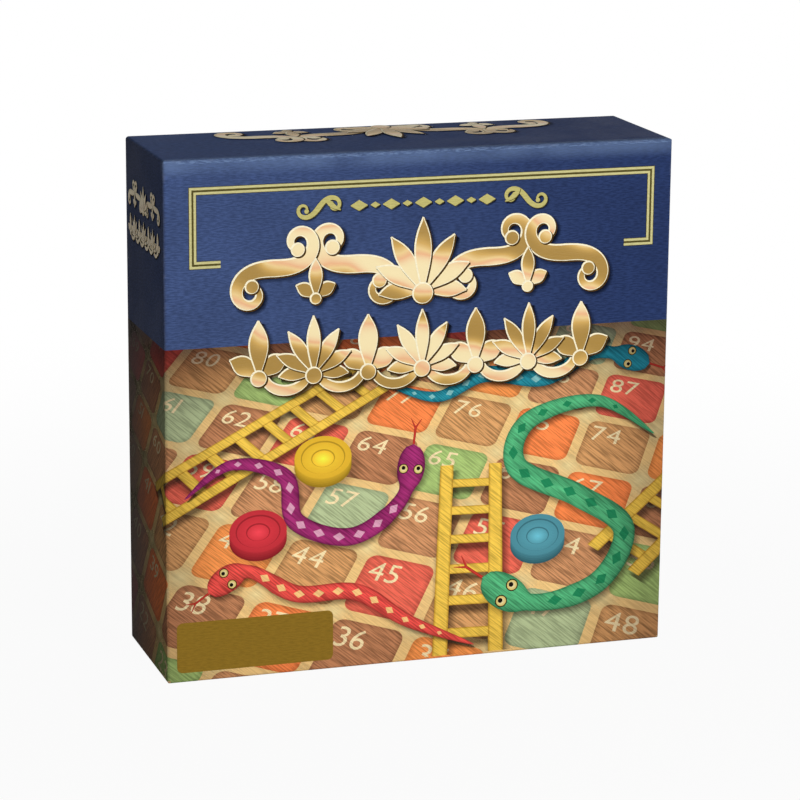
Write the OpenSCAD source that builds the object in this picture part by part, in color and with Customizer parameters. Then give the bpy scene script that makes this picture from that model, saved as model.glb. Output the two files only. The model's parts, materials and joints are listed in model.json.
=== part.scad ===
// Boxed snakes and ladders game: a wrapped rigid box with a folding board, a formed tray and its pieces.
// The box stands on one side wall. The lid's panel faces -Y, +Z is up and the origin is under its middle.

/* [Box] */
// Width of the lid, outside
box_w = 267; // [220:1:340]
// Height of the standing lid, outside
box_h = 267; // [220:1:340]
// Depth of the closed box, from the lid's panel to the base's back
box_depth = 80; // [60:1:110]
// Thickness of the grey board
grey_board = 1.8; // [1.2:0.1:2.4]
// Thickness of the wrapping paper
wrap_paper = 0.3; // [0.2:0.05:0.4]
// How far the paper is turned in over a rim
turn_in = 20; // [12:1:30]
// Radius of the paper-wrapped outer edges
edge_r = 1.6; // [1:0.1:2.5]
// Gap between the lid's wall and the base's wall
lid_fit = 0.5; // [0.3:0.1:1]
// How far the base stands out behind the lid's rim
base_proud = 1; // [0.5:0.1:3]

/* [Corner stays] */
// Width of each wing of the tape
stay_wing = 16; // [10:1:24]
// Thickness of the tape
stay_t = 0.2; // [0.1:0.05:0.3]

/* [Board] */
// Gap between the board and the base's inner walls
board_clear = 1.2; // [0.5:0.1:3]
// Thickness of a leaf's grey-board core
leaf_core = 1.7; // [1.2:0.1:2.4]
// Thickness of the printed sheet
face_paper = 0.2; // [0.1:0.05:0.3]
// Thickness of the back paper, which also covers the leaf's edges
back_paper = 0.2; // [0.1:0.05:0.3]
// Gap between the printed faces when the board is folded
fold_gap = 0.8; // [0.6:0.1:1.5]
// Corner radius of a leaf, away from the fold
leaf_corner_r = 2; // [1:0.5:5]
// Distance from the fold line to a leaf's edge
spine_gap = 0.4; // [0.3:0.1:1]
// Width of one wing of the hinge tape
tape_wing = 6; // [4:1:12]
// Thickness of the hinge tape
tape_t = 0.2; // [0.1:0.05:0.25]

/* [Leaflet] */
// Thickness of one leaf of the leaflet
leaflet_paper = 0.25; // [0.15:0.05:0.4]
// Gap between its two leaves
leaflet_gap = 0.1; // [0.1:0.05:0.3]
// Distance from the leaflet to the board's side edges
leaflet_side = 14; // [6:1:25]
// Distance from the leaflet to the board's top and bottom edges
leaflet_end = 32; // [10:1:60]
// Gap between the leaflet and the lid
leaflet_clear = 0.4; // [0.2:0.1:0.8]

/* [Formed tray] */
// Thickness of the formed sheet
sheet_t = 0.8; // [0.5:0.1:1.2]
// Radius of the tray's corners, seen from the front
tray_corner_r = 6; // [2:0.5:12]
// Gap between the tray and the base's walls
tray_gap = 0.3; // [0.2:0.1:0.8]
// Gap between the tray's deck and the lid
deck_clear = 0.6; // [0.4:0.1:0.9]
// Gap around a piece in its well
well_gap = 0.3; // [0.2:0.1:0.6]
// Space between neighbouring wells
well_pitch_gap = 16; // [10:1:22]
// Distance from the fold line to the tray's step
step_gap = 3; // [2:0.5:6]
// Radius of the finger trough
finger_r = 9; // [7:0.5:11]
// How far the finger trough runs past the end wells
finger_over = 12; // [6:1:20]

/* [Pawn] */
// Radius of the foot
pawn_foot_r = 8; // [6.5:0.5:10]
// Height of the foot's straight side
pawn_foot_h = 2.4; // [1.5:0.1:4]
// Radius of the foot's rounded shoulder
pawn_shoulder_r = 1.3; // [0.8:0.1:1.8]
// Radius of the body where it meets the foot
pawn_body_r = 6; // [5:0.1:6.4]
// Radius of the body under the collar
pawn_neck_r = 2.9; // [2.2:0.1:3.4]
// Height of the collar's lower edge
pawn_neck_z = 17; // [14:0.5:22]
// Radius of the collar
pawn_collar_r = 4.6; // [3.8:0.1:5.4]
// Thickness of the collar
pawn_collar_h = 1.6; // [1.2:0.1:2.4]
// Radius of the head
pawn_head_r = 4.8; // [4:0.1:5.6]
// How far the head sinks into the collar
pawn_head_sink = 1; // [0.5:0.1:1.5]
// Wall of the hollow body
pawn_wall = 1.4; // [1:0.1:1.8]
// Depth of the hollow
pawn_hollow = 13; // [8:0.5:14]

/* [Die] */
// Edge length
die_size = 12; // [10:0.5:16]
// How much the rounding takes off each corner
die_corner_cut = 1.8; // [0.5:0.1:2.5]
// Radius of a pip
pip_r = 1.2; // [0.9:0.1:1.4]
// Depth of a pip
pip_depth = 0.5; // [0.3:0.1:0.8]
// Distance from a face's edges to the middles of its outer pips
pip_edge = 3; // [2.4:0.1:3.4]

/* [Hidden] */
$fn = 64;
// Overshoot of a cut past the face it opens
over = 1;

// Lid and base
wall_t = grey_board + wrap_paper;
rim_t = wall_t + wrap_paper;
front_y = -box_depth / 2;
back_y = box_depth / 2;
mid_z = box_h / 2;
lid_d = box_depth - base_proud;
lid_inner_y = front_y + wall_t;
base_w = box_w - 2 * (rim_t + lid_fit);
base_h = box_h - 2 * (rim_t + lid_fit);
base_d = back_y - lid_inner_y;
floor_y = back_y - wall_t;
inner_w = base_w - 2 * rim_t;
inner_h = base_h - 2 * rim_t;

// Folding board, with the fold line upright in the middle of the box
board_w = inner_w - 2 * board_clear;
board_h = inner_h - 2 * board_clear;
leaf_w = board_w / 2 - spine_gap;
leaf_t = back_paper + leaf_core + face_paper;
leaflet_t = 2 * leaflet_paper + leaflet_gap;
leaflet_y = lid_inner_y + leaflet_clear;
board_y = leaflet_y + leaflet_t;
fold_y = board_y + leaf_t + fold_gap / 2;
seat_y = board_y + 2 * leaf_t + fold_gap;
bead_r = fold_gap / 2 - tape_t / 2;

// Formed tray
deck_y = lid_inner_y + deck_clear;
tray_w = inner_w - 2 * tray_gap;
tray_h = inner_h - 2 * tray_gap;
well_x = (step_gap + tray_w / 2) / 2;

// Pieces in their wells: a column of pawns, with the die below them
PAWNS = 4;
pawn_shoulder_z = pawn_foot_h + pawn_shoulder_r;
pawn_head_z = pawn_neck_z + pawn_collar_h + pawn_head_r - pawn_head_sink;
pawn_h = pawn_head_z + pawn_head_r;
pawn_pitch = 2 * pawn_foot_r + well_pitch_gap;
column_h = (PAWNS - 1) * pawn_pitch + pawn_foot_r + well_pitch_gap + die_size / 2;
pawn_foot_x = well_x + pawn_h / 2;
pawn_y = deck_y + well_gap + pawn_foot_r;
pawn_rise = pawn_y - deck_y;
die_y = deck_y + well_gap + die_size / 2;
die_z = mid_z - column_h / 2;
finger_x = pawn_foot_x - pawn_h / 2;

function pawn_z(i) = mid_z + column_h / 2 - i * pawn_pitch;

// Outlines

// Rectangle around the origin with all four corners rounded
module round_rect(w, h, r) {
    square([w - 2 * r, h], center = true);
    square([w, h - 2 * r], center = true);
    for (x = [-1, 1], y = [-1, 1])
        translate([x * (w / 2 - r), y * (h / 2 - r)]) circle(r);
}

// Rectangle from y = 0 to y = d, with the two corners at y = 0 rounded
module sill_rect(w, d, r) {
    translate([-w / 2 + r, 0]) square([w - 2 * r, d]);
    translate([-w / 2, r]) square([w, d - r]);
    for (x = [-1, 1])
        translate([x * (w / 2 - r), r]) circle(r);
}

// Wrapped box parts, with the panel at y = 0 and the rim at y = d

// Block with rounded panel edges and rounded upright edges
module soft_block(w, h, d, r) {
    intersection() {
        translate([0, d, 0]) rotate([90, 0, 0]) linear_extrude(d) round_rect(w, h, r);
        translate([0, 0, -h / 2]) linear_extrude(h) sill_rect(w, d, r);
        rotate([0, 90, 0]) translate([0, 0, -w / 2]) linear_extrude(w) sill_rect(h, d, r);
    }
}

// Plain block from y = y0 to y = y1
module plain_block(w, h, y0, y1) {
    translate([-w / 2, y0, -h / 2]) cube([w, y1 - y0, h]);
}

// Space inside the paper, filled by the grey board and its stays
module blank_form(w, h, d) {
    difference() {
        translate([0, wrap_paper, 0])
            soft_block(w - 2 * wrap_paper, h - 2 * wrap_paper, d - 2 * wrap_paper, edge_r - wrap_paper);
        plain_block(w - 2 * wall_t, h - 2 * wall_t, wall_t, d + over);
    }
}

// Four strips of tape, bent around the outer corners of the grey board
module stays(w, h, d) {
    outer_w = w - 2 * wrap_paper;
    outer_h = h - 2 * wrap_paper;
    for (x = [-1, 1], z = [-1, 1])
        intersection() {
            translate([0, d - wall_t, 0]) rotate([90, 0, 0]) linear_extrude(d - 2 * wall_t)
                difference() {
                    round_rect(outer_w, outer_h, edge_r - wrap_paper);
                    round_rect(outer_w - 2 * stay_t, outer_h - 2 * stay_t, edge_r - wrap_paper - stay_t);
                }
            translate([x * outer_w / 2, d / 2, z * outer_h / 2])
                cube([2 * stay_wing, d, 2 * stay_wing], center = true);
        }
}

// Grey board, pressed in under the tape at its corners
module blank(w, h, d) {
    difference() {
        blank_form(w, h, d);
        stays(w, h, d);
    }
}

// Paper over the outside, round the rim and a strip of the inside
module wrap(w, h, d) {
    difference() {
        soft_block(w, h, d, edge_r);
        blank_form(w, h, d);
        plain_block(w - 2 * wall_t, h - 2 * wall_t, wall_t, d - turn_in);
        plain_block(w - 2 * rim_t, h - 2 * rim_t, d - turn_in - over, d + over);
    }
}

module at_lid() {
    translate([0, front_y, mid_z]) children();
}

module at_base() {
    translate([0, back_y, mid_z]) mirror([0, 1, 0]) children();
}

module lid_blank() {
    color("#8d8778") at_lid() blank(box_w, box_h, lid_d);
}

module lid_corner_stays() {
    color("#b08d5e") at_lid() stays(box_w, box_h, lid_d);
}

module lid_wrap() {
    color("#2f3d74") at_lid() wrap(box_w, box_h, lid_d);
}

module base_blank() {
    color("#8d8778") at_base() blank(base_w, base_h, base_d);
}

module base_corner_stays() {
    color("#b08d5e") at_base() stays(base_w, base_h, base_d);
}

module base_wrap() {
    color("#1f2547") at_base() wrap(base_w, base_h, base_d);
}

// Formed tray: a seat for the folded board, a deck with wells, and skirts down to the base's floor

// Outline of a channel, with a round bottom towards +y and straight sides up to y = -rise
module channel_outline(r, rise) {
    intersection() {
        circle(r);
        translate([-r, 0]) square([2 * r, r]);
    }
    if (rise > 0)
        translate([-r, -rise]) square([2 * r, rise]);
}

// Channel lying on its side, open towards -Y
module well_channel(r, h, rise) {
    linear_extrude(h) channel_outline(r, rise);
}

// Ball-ended well, open towards -Y
module well_ball(r, rise) {
    rotate([90, 0, 0]) rotate_extrude() {
        square([r, rise]);
        intersection() {
            circle(r);
            translate([0, -r]) square(r);
        }
    }
}

// Well of a lying pawn, grown by a margin, in the pawn's own frame
module pawn_well(margin, rise) {
    translate([0, 0, -margin])
        well_channel(pawn_foot_r + margin, pawn_shoulder_z + 2 * margin, rise);
    well_channel(pawn_body_r + margin, pawn_neck_z + pawn_collar_h + margin, rise);
    translate([0, 0, pawn_head_z])
        well_ball(pawn_head_r + margin, rise);
}

module at_pawn(i) {
    translate([pawn_foot_x, pawn_y, pawn_z(i)]) rotate([0, -90, 0]) children();
}

// Every well and the finger trough, grown by a margin and cut open past the deck
module wells(margin, open) {
    for (i = [0 : PAWNS - 1])
        at_pawn(i) pawn_well(margin, pawn_rise + open);
    die_room = die_size + 2 * margin;
    translate([well_x - die_room / 2, deck_y - open, die_z - die_room / 2])
        cube([die_room, die_y - deck_y + die_room / 2 + open, die_room]);
    trough_r = finger_r + margin - well_gap;
    trough_low = pawn_z(PAWNS - 1) - pawn_foot_r - finger_over - margin;
    trough_high = pawn_z(0) + pawn_foot_r + finger_over + margin;
    translate([finger_x, deck_y, trough_low])
        well_channel(trough_r, trough_high - trough_low, open);
}

// Step of the tray from one x to another, with its top at a depth, drawn in by a margin
module tray_step(from, to, top_y, margin) {
    translate([(from + to) / 2, floor_y + margin, mid_z]) rotate([90, 0, 0])
        linear_extrude(floor_y - top_y)
            round_rect(to - from - 2 * margin, tray_h - 2 * margin, tray_corner_r - margin);
}

// Outer form of the stepped tray, drawn in by a margin and open at the back
module tray_form(margin) {
    tray_step(-tray_w / 2, tray_w / 2, seat_y, margin);
    tray_step(step_gap, tray_w / 2, deck_y, margin);
}

module insert_tray() {
    color("#e9e3d3")
        difference() {
            union() {
                difference() {
                    intersection() {
                        tray_form(0);
                        translate([-box_w, front_y, 0]) cube([2 * box_w, floor_y - front_y, box_h]);
                    }
                    tray_form(sheet_t);
                }
                wells(well_gap + sheet_t, 0);
            }
            wells(well_gap, over);
        }
}

// Folding board: two leaves, each a core in a pan of back paper under a printed sheet

// Leaf outline in x and z, drawn in by a margin, with its outer corners rounded
module leaf_outline(margin) {
    translate([-spine_gap - leaf_w + margin, 0]) rotate([0, 0, -90])
        sill_rect(board_h - 2 * margin, leaf_w - 2 * margin, leaf_corner_r - margin);
}

// Layer of a leaf from a depth behind the fold line to a greater one
module leaf_layer(margin, from, to) {
    translate([0, to, 0]) rotate([90, 0, 0]) linear_extrude(to - from) leaf_outline(margin);
}

module leaf_face() {
    face_y = fold_gap / 2;
    leaf_layer(back_paper, face_y, face_y + face_paper);
}

module leaf_core_board() {
    core_y = fold_gap / 2 + face_paper;
    leaf_layer(back_paper, core_y, core_y + leaf_core);
}

module leaf_back() {
    face_y = fold_gap / 2;
    difference() {
        leaf_layer(0, face_y, face_y + leaf_t);
        leaf_layer(back_paper, face_y - over, face_y + face_paper + leaf_core);
    }
}

module leaf_tape() {
    translate([-spine_gap - tape_wing, fold_gap / 2 - tape_t, -board_h / 2])
        cube([tape_wing, tape_t, board_h]);
}

module at_rear_leaf() {
    translate([0, fold_y, mid_z]) children();
}

module at_front_leaf() {
    at_rear_leaf() mirror([0, 1, 0]) children();
}

module rear_core() {
    color("#9a9282") at_rear_leaf() leaf_core_board();
}

module rear_face() {
    color("#c79a5b") at_rear_leaf() leaf_face();
}

module rear_back() {
    color("#20264a") at_rear_leaf() leaf_back();
}

// The rear wing carries the rolled bead on the fold line
module rear_hinge_tape() {
    color("#3a2a22") at_rear_leaf() {
        leaf_tape();
        translate([-spine_gap, fold_gap / 2 - tape_t, -board_h / 2])
            cube([spine_gap, tape_t, board_h]);
        translate([0, 0, -board_h / 2]) cylinder(r = bead_r, h = board_h);
    }
}

module front_core() {
    color("#9a9282") at_front_leaf() leaf_core_board();
}

module front_face() {
    color("#c79a5b") at_front_leaf() leaf_face();
}

module front_back() {
    color("#20264a") at_front_leaf() leaf_back();
}

module front_hinge_tape() {
    color("#3a2a22") at_front_leaf() leaf_tape();
}

// Half outline of the pawn's body, drawn in by one arc that ends upright at the neck
module pawn_body_outline() {
    rise = pawn_neck_z - pawn_shoulder_z;
    draw_in = pawn_body_r - pawn_neck_r;
    arc_r = (rise * rise + draw_in * draw_in) / (2 * draw_in);
    difference() {
        translate([0, pawn_foot_h])
            square([pawn_body_r, pawn_neck_z + pawn_collar_h / 2 - pawn_foot_h]);
        translate([pawn_neck_r + arc_r, pawn_neck_z]) circle(arc_r);
    }
}

// Hollow moulded pawn, standing on its foot at the origin
module pawn() {
    difference() {
        union() {
            cylinder(r = pawn_foot_r, h = pawn_foot_h);
            cylinder(r = pawn_foot_r - pawn_shoulder_r, h = pawn_shoulder_z);
            translate([0, 0, pawn_foot_h]) rotate_extrude()
                translate([pawn_foot_r - pawn_shoulder_r, 0]) circle(pawn_shoulder_r);
            rotate_extrude() pawn_body_outline();
            translate([0, 0, pawn_neck_z + pawn_collar_h / 2]) {
                cylinder(r = pawn_collar_r - pawn_collar_h / 2, h = pawn_collar_h, center = true);
                rotate_extrude()
                    translate([pawn_collar_r - pawn_collar_h / 2, 0]) circle(pawn_collar_h / 2);
            }
            translate([0, 0, pawn_head_z]) sphere(pawn_head_r);
        }
        translate([0, 0, -over])
            cylinder(r1 = pawn_body_r - pawn_wall, r2 = pawn_neck_r - pawn_wall, h = pawn_hollow + over);
    }
}

module pawn_red() {
    color("#b3282d") at_pawn(0) pawn();
}

module pawn_yellow() {
    color("#e0b322") at_pawn(1) pawn();
}

module pawn_blue() {
    color("#1f7f9e") at_pawn(2) pawn();
}

module pawn_green() {
    color("#2f7d3c") at_pawn(3) pawn();
}

// Die

// Pip places on each face, in steps from its middle
PIPS = [
    [[0, 0]],
    [[-1, -1], [1, 1]],
    [[-1, -1], [0, 0], [1, 1]],
    [[-1, -1], [-1, 1], [1, -1], [1, 1]],
    [[-1, -1], [-1, 1], [0, 0], [1, -1], [1, 1]],
    [[-1, -1], [-1, 0], [-1, 1], [1, -1], [1, 0], [1, 1]],
];
// Turn that brings each face to the top, so that opposite faces add up to seven
FACE_TURNS = [[0, 0, 0], [90, 0, 0], [0, 90, 0], [0, -90, 0], [-90, 0, 0], [180, 0, 0]];

module die() {
    corner_r = die_size * sqrt(3) / 2 - die_corner_cut;
    pip_step = die_size / 2 - pip_edge;
    pip_ball_r = (pip_r * pip_r + pip_depth * pip_depth) / (2 * pip_depth);
    color("#f4f0e6")
        translate([well_x, die_y, die_z])
            difference() {
                intersection() {
                    cube(die_size, center = true);
                    sphere(corner_r);
                }
                for (face = [0 : 5], pip = PIPS[face])
                    rotate(FACE_TURNS[face])
                        translate([pip[0] * pip_step, pip[1] * pip_step, die_size / 2 + pip_ball_r - pip_depth])
                            sphere(pip_ball_r);
            }
}

// Folded leaflet, lying on the board with its fold to the left
module rules_leaflet() {
    tall = board_h - 2 * leaflet_end;
    wide = leaf_w - 2 * leaflet_side;
    fold_r = leaflet_t / 2;
    color("#efe9da")
        translate([-spine_gap - leaf_w + leaflet_side, leaflet_y + fold_r, mid_z - tall / 2])
            linear_extrude(tall)
                difference() {
                    union() {
                        translate([fold_r, 0]) circle(fold_r);
                        translate([fold_r, -fold_r]) square([wide - fold_r, leaflet_t]);
                    }
                    translate([fold_r, 0]) circle(leaflet_gap / 2);
                    translate([fold_r, -leaflet_gap / 2]) square([wide, leaflet_gap]);
                }
}

lid_blank();
lid_corner_stays();
lid_wrap();
base_blank();
base_corner_stays();
base_wrap();
insert_tray();
rear_core();
rear_face();
rear_back();
rear_hinge_tape();
front_core();
front_face();
front_back();
front_hinge_tape();
pawn_red();
pawn_yellow();
pawn_blue();
pawn_green();
die();
rules_leaflet();
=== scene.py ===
import json
import math
from functools import partialmethod
from itertools import product

import bmesh
import bpy
from mathutils import Matrix, Vector

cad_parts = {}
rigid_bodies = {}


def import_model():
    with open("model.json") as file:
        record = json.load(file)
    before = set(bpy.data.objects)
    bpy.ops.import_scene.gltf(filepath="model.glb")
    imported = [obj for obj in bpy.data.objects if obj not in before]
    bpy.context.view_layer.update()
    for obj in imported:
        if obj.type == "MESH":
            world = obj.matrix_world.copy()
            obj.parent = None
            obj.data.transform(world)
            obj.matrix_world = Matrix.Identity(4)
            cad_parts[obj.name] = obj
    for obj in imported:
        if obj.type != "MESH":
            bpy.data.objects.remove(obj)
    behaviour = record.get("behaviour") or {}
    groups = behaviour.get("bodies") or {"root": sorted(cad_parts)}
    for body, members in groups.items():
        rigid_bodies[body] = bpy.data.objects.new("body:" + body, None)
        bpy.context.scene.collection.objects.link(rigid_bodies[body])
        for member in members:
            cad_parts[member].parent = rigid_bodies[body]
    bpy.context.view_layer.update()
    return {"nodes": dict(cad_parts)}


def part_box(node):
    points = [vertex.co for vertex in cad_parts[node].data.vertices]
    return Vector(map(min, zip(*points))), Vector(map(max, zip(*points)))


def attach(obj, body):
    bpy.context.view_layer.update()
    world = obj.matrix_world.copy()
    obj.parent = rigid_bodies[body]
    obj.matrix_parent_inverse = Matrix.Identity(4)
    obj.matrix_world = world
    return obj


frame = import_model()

# Looks of the boxed snakes and ladders game
# Prints are drawn flat, in millimetres, and then laid on their sheet.

MM = 0.001
# Thickness of one layer of ink
INK = 0.006 * MM

# Lid, from the frame
LID_LOW, LID_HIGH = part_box("lid_wrap")
PANEL_Y = LID_LOW.y
MID_Z = (LID_LOW.z + LID_HIGH.z) / 2
HALF_W = (LID_HIGH.x - LID_LOW.x) / 2
HALF_H = (LID_HIGH.z - LID_LOW.z) / 2
LID_DEPTH = LID_HIGH.y - LID_LOW.y
# Radius of the lid's wrapped edges, as built
EDGE_R = 1.6 * MM
# Height at which the plain paper gives way to the pictured board
FIELD_TOP = 172.8 * MM

# Colours of the papers
# The navy is painted lighter at the left and darker at the right: painted light and shade
NAVY_PAINTED_LIGHT = "#40517b"
NAVY_PAINTED_SHADE = "#28375f"
# Rubbed edge colour, used also as a painted highlight along the panel's upper edge
NAVY_RUB_AND_HIGHLIGHT = "#86a0c8"
# Worn edge colour, used also as a painted highlight along the rounded edges
EDGE_WORN_AND_LIT = "#9aa3bd"
BASE_NAVY = "#212b4b"
GROUT = "#f6cd88"
# Colour that the picture darkens into towards its edges, and painted shade that the left wall fades into
PICTURE_DUSK = "#5b4a5c"
LEFT_WALL_SHADE_COLOUR = "#565250"

# Colours of the inks
GROUT_GLOW = "#ffe9a8"
WOOD_TILES = ("#d09466", "#c0835b", "#d9a067")
BRIGHT_TILES = ("#ff8c4e", "#f06d58", "#ff9d54", "#aeca79", "#f06d58", "#ff8c4e", "#b7c596")
NUMBER_INK = "#fde6b2"
GOLD_STOPS = [(0.0, "#a8843c"), (0.25, "#d3a95a"), (0.5, "#efcf8e"), (0.72, "#eeb687"), (1.0, "#f8e5b2")]
# Paler gold for the left wall: painted light for a wall that the lamps light dimly
LEFT_WALL_GOLD_PAINTED_LIGHT = "#ffe6ab"
PLATE_BROWN = "#8a6c24"
WHITE = (1, 1, 1, 1)

# Heights of the inks in their stack, in layers
GLOW_LAYER = 1
TILE_LAYER = 2
NUMBER_LAYER = 3
MOTIF_LAYER = 4
GOLD_LAYER = 24
# Layers of a ladder and of a snake, and most shapes of an ornament over each other
LADDER_LAYERS = 4
SNAKE_LAYERS = 5
GOLD_LEVELS = 18


# Colours and nodes

def ink(code, grain=0.0):
    """Linear colour of a hex code, with the share of wood grain printed over it."""
    channels = [int(code[i:i + 2], 16) / 255 for i in (1, 3, 5)]
    linear = [c / 12.92 if c <= 0.04045 else ((c + 0.055) / 1.055) ** 2.4 for c in channels]
    return (*linear, grain)


def soft(colour, cover):
    """Inks of a band that fades out at both edges."""
    return [(*colour, 0.0), (*colour, cover), (*colour, cover), (*colour, 0.0)]


def shaded(colour, factor):
    return (*(min(1.0, c * factor) for c in colour[:3]), colour[3])


class Nodes:
    """Nodes of one tree, built by short calls. A value is a socket or a plain number or colour."""

    def __init__(self, tree):
        self.tree = tree

    def put(self, socket, value):
        if isinstance(value, bpy.types.NodeSocket):
            self.tree.links.new(value, socket)
        else:
            socket.default_value = value

    def node(self, kind, values, **settings):
        """Outputs of a new node."""
        made = self.tree.nodes.new(kind)
        for key, value in settings.items():
            setattr(made, key, value)
        for key, value in values.items():
            self.put(made.inputs[key], value)
        return made.outputs

    def math(self, operation, *values):
        return self.node("ShaderNodeMath", dict(enumerate(values)), operation=operation)[0]

    times = partialmethod(math, "MULTIPLY")
    plus = partialmethod(math, "ADD")
    less = partialmethod(math, "SUBTRACT")
    most = partialmethod(math, "MAXIMUM")

    def length(self, vector):
        return self.node("ShaderNodeVectorMath", {0: vector}, operation="LENGTH")["Value"]

    def mix(self, share, first, second, blend="MIX"):
        values = {0: share, 6: first, 7: second}
        return self.node("ShaderNodeMix", values, data_type="RGBA", blend_type=blend)[2]

    def toned(self, colour, value):
        tone = self.node("ShaderNodeCombineColor", {0: value, 1: value, 2: value})[0]
        return self.mix(1.0, colour, tone, "MULTIPLY")

    def between(self, share, first, second):
        return self.node("ShaderNodeMix", {0: share, 2: first, 3: second})[0]

    def fit(self, value, low, high, to_low=0.0, to_high=1.0):
        values = {0: value, 1: low, 2: high, 3: to_low, 4: to_high}
        return self.node("ShaderNodeMapRange", values, interpolation_type="SMOOTHSTEP")[0]

    def spread(self, noise, to_low=0.0, to_high=1.0):
        """Noise, which lies mostly in 0.3 to 0.7, brought to another range."""
        return self.fit(noise, 0.3, 0.7, to_low, to_high)

    def ramp(self, value, stops):
        made = self.tree.nodes.new("ShaderNodeValToRGB")
        self.put(made.inputs[0], value)
        points = made.color_ramp.elements
        while len(points) < len(stops):
            points.new(0.5)
        for point, (place, code) in zip(points, stops):
            point.position = place
            point.color = (*ink(code)[:3], 1)
        return made.outputs[0]

    def join(self, x, y):
        return self.node("ShaderNodeCombineXYZ", {0: x, 1: y})[0]

    def split(self, vector):
        return self.node("ShaderNodeSeparateXYZ", {0: vector})

    def noise(self, vector, scale, detail=2.0, roughness=0.5):
        values = {"Vector": vector, "Scale": scale, "Detail": detail, "Roughness": roughness}
        return self.node("ShaderNodeTexNoise", values)[0]

    def coords(self, name="Object"):
        return self.node("ShaderNodeTexCoord", {})[name]

    def attribute(self, name):
        return self.node("ShaderNodeAttribute", {}, attribute_name=name)

    def seen(self):
        """1 for rays from the camera, a mirror or a glass, otherwise 0."""
        rays = self.node("ShaderNodeLightPath", {})
        mirrored = self.most(rays["Is Glossy Ray"], rays["Is Transmission Ray"])
        return self.most(rays["Is Camera Ray"], mirrored)


class Shader(Nodes):
    """Nodes of one material."""

    def __init__(self, name):
        self.material = bpy.data.materials.new(name)
        self.material.use_nodes = True
        super().__init__(self.material.node_tree)
        self.surface = self.tree.nodes["Principled BSDF"]

    def set(self, name, value):
        self.put(self.surface.inputs[name], value)

    def bump(self, height, strength, distance):
        values = {"Height": height, "Strength": strength, "Distance": distance}
        self.set("Normal", self.node("ShaderNodeBump", values)[0])

    def finish(self, colour, roughness, specular=0.5):
        self.set("Base Color", colour)
        self.set("Roughness", roughness)
        self.set("Specular IOR Level", specular)
        return self.material


# Paper: an embossed, laminated sheet

# Marks per metre, along and across
DASHES = (300, 1500)
FINE_GRAIN = (70, 1450)
BROAD_GRAIN = (25, 300)
# Tooth of the emboss, in marks per metre, and depth of the emboss
TOOTH = 2600
PRESS_DEPTH = 0.25 * MM
PAPER_ROUGHNESS = 0.8
PAPER_SHEEN = 0.03
# Slants of the picture and of its grain, and share of grain in its ground
FIELD_TURN = math.radians(-21)
GRAIN_TURN = math.radians(-40)
GROUND_GRAIN = 0.35
# How much the picture's shading is lifted on the left wall, as painted light there
LEFT_WALL_LIFT = 1.5
# Part of a normal from which a sheet counts as turned over an edge
TURNED = 0.7


def sheet_place(s):
    """Place across and up a wrapped sheet, also where it turns over an edge."""
    x, y, z = s.split(s.coords())
    side, _, end = s.split(s.coords("Normal"))
    on_side, on_end = (s.math("GREATER_THAN", s.math("ABSOLUTE", part), TURNED) for part in (side, end))
    return s.between(on_side, x, y), s.between(on_end, z, y)


def streaks(s, along, across, marks):
    """Noise drawn out one way, by its marks per metre."""
    return s.noise(s.join(s.times(along, marks[0]), s.times(across, marks[1])), 1.0)


def emboss(s, across, up):
    """Short level dashes over a fine tooth."""
    tooth = s.noise(s.join(across, up), TOOTH, 1.0)
    return s.plus(streaks(s, across, up, DASHES), s.times(tooth, 0.25))


def embossed(name, strength=0.55):
    """Shader of an embossed sheet, the place on it and its emboss."""
    s = Shader(name)
    across, up = sheet_place(s)
    height = emboss(s, across, up)
    s.bump(height, strength, PRESS_DEPTH)
    return s, across, up, height


def grain_lines(s, across, up, turn):
    """Fine wood grain at an angle to the sheet."""
    cos, sin = math.cos(turn), math.sin(turn)
    along = s.plus(s.times(across, cos), s.times(up, sin))
    cross = s.less(s.times(up, cos), s.times(across, sin))
    fine = s.fit(streaks(s, along, cross, FINE_GRAIN), 0.36, 0.6, 0.6, 1.18)
    return s.plus(fine, s.spread(streaks(s, along, cross, BROAD_GRAIN), -0.07, 0.07))


def on_left_wall(s):
    """1 on the left wall and 0 elsewhere."""
    return s.fit(s.split(s.coords("Normal"))[0], -0.9, -0.4, 1.0, 0.0)


def left_wall_dusk(s, colour, at_edge, at_back):
    """Colour with painted shade on the left wall, by shares at the panel's edge and at the back."""
    share = s.fit(s.split(s.coords())[1], PANEL_Y, PANEL_Y + LID_DEPTH, at_edge, at_back)
    return s.mix(s.times(share, on_left_wall(s)), colour, ink(LEFT_WALL_SHADE_COLOUR))


def field_shade(s, up):
    """Darkening of the picture towards its edges."""
    x = s.split(s.coords())[0]
    # Where each fade begins and ends, and how much light it leaves there
    fades = (
        (up, FIELD_TOP - 43 * MM, FIELD_TOP, 1.0, 0.35), (up, FIELD_TOP - 14 * MM, FIELD_TOP, 1.0, 0.3),
        (x, -138 * MM, -92 * MM, 0.55, 1.0), (x, 70 * MM, 138 * MM, 1.0, 0.45), (up, 0.0, 40 * MM, 0.82, 1.0))
    # On the left wall the shading is lifted: painted light
    shade = s.between(on_left_wall(s), 1.0, LEFT_WALL_LIFT)
    for fade in fades:
        shade = s.times(shade, s.fit(*fade))
    return shade


def printed(s, colour, grain, across, up):
    """Ink with its grain and the picture's shading, which is faintly purple."""
    colour = s.toned(colour, s.between(grain, 1.0, grain_lines(s, across, up, GRAIN_TURN)))
    tint = s.mix(field_shade(s, up), ink(PICTURE_DUSK), WHITE)
    # Painted shade on the left wall, deeper towards the back
    return left_wall_dusk(s, s.mix(1.0, colour, tint, "MULTIPLY"), 0.1, 0.9)


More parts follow.
